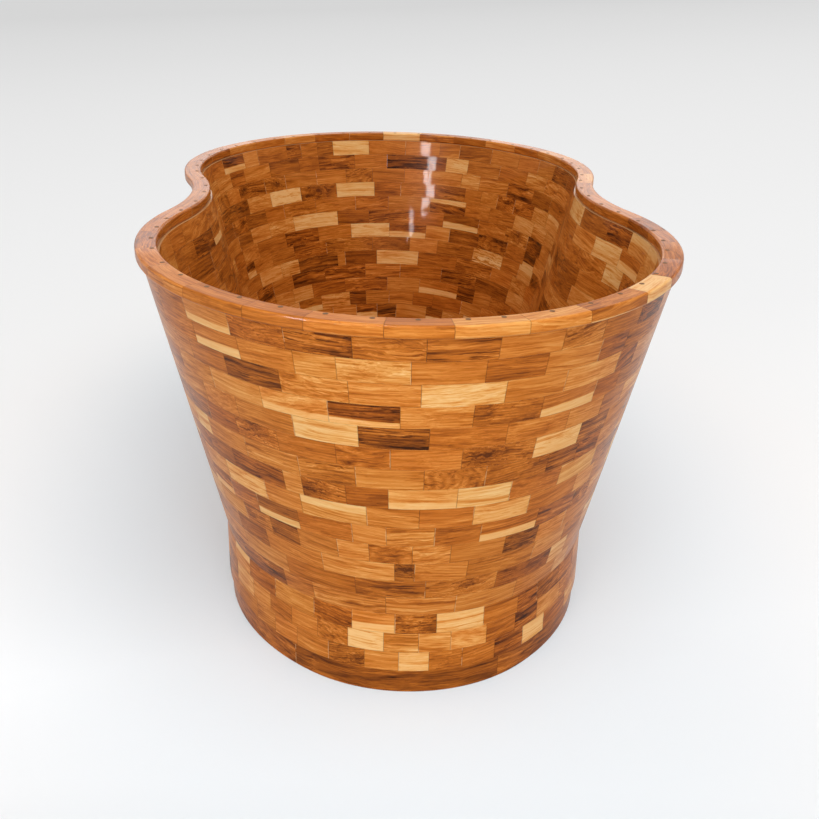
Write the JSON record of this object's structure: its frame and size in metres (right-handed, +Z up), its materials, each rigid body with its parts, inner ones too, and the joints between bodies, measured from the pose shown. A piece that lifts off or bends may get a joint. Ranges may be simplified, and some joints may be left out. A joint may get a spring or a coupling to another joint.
{
  "type": "wooden bathtub",
  "caption": "Free-standing figure-eight wooden bathtub laid up from small teak blocks, with a pinned rim, plinth, boarded floor and a waste with a lifting stopper.",
  "frame": {"origin": "on the floor, under the middle of the tub", "axes": "+Z up, Y along the tub's length, X across its waist"},
  "size_m": [0.9028, 1.657, 0.66],
  "materials": {
    "teak_blocks": "glossy clear lacquer over oiled teak",
    "teak_plinth": "glossy clear lacquer over teak",
    "teak_rim": "glossy clear lacquer over teak",
    "dowel_wood": "dark end grain, flush and lacquered",
    "teak_floor": "glossy clear lacquer over teak",
    "bearer_wood": "planed, unfinished",
    "chrome": "polished",
    "brass": "plain cast and turned",
    "rubber": "moulded"
  },
  "bodies": {
    "tub": {"plinth_ring": "teak_plinth", "wall_course_01": "teak_blocks", "wall_course_02": "teak_blocks", "wall_course_03": "teak_blocks", "wall_course_04": "teak_blocks", "wall_course_05": "teak_blocks", "wall_course_06": "teak_blocks", "wall_course_07": "teak_blocks", "wall_course_08": "teak_blocks", "wall_course_09": "teak_blocks", "wall_course_10": "teak_blocks", "wall_course_11": "teak_blocks", "wall_course_12": "teak_blocks", "wall_course_13": "teak_blocks", "wall_course_14": "teak_blocks", "wall_course_15": "teak_blocks", "wall_course_16": "teak_blocks", "wall_course_17": "teak_blocks", "rim_cap": "teak_rim", "rim_dowels": "dowel_wood", "floor_boards": "teak_floor", "floor_bearers": "bearer_wood", "waste_body": "chrome", "flange_gasket": "rubber", "under_washer": "rubber", "waste_locknut": "brass", "tail_pipe": "chrome", "tail_nut": "brass"},
    "stopper": {"stopper_cap": "chrome", "stopper_stem": "chrome", "stopper_seal": "rubber"}
  },
  "joints": [
    {"name": "stopper_lift", "type": "slide", "parent": "tub", "child": "stopper", "axis": [0, 0, 1], "range_m": [0, 0.009]}
  ]
}
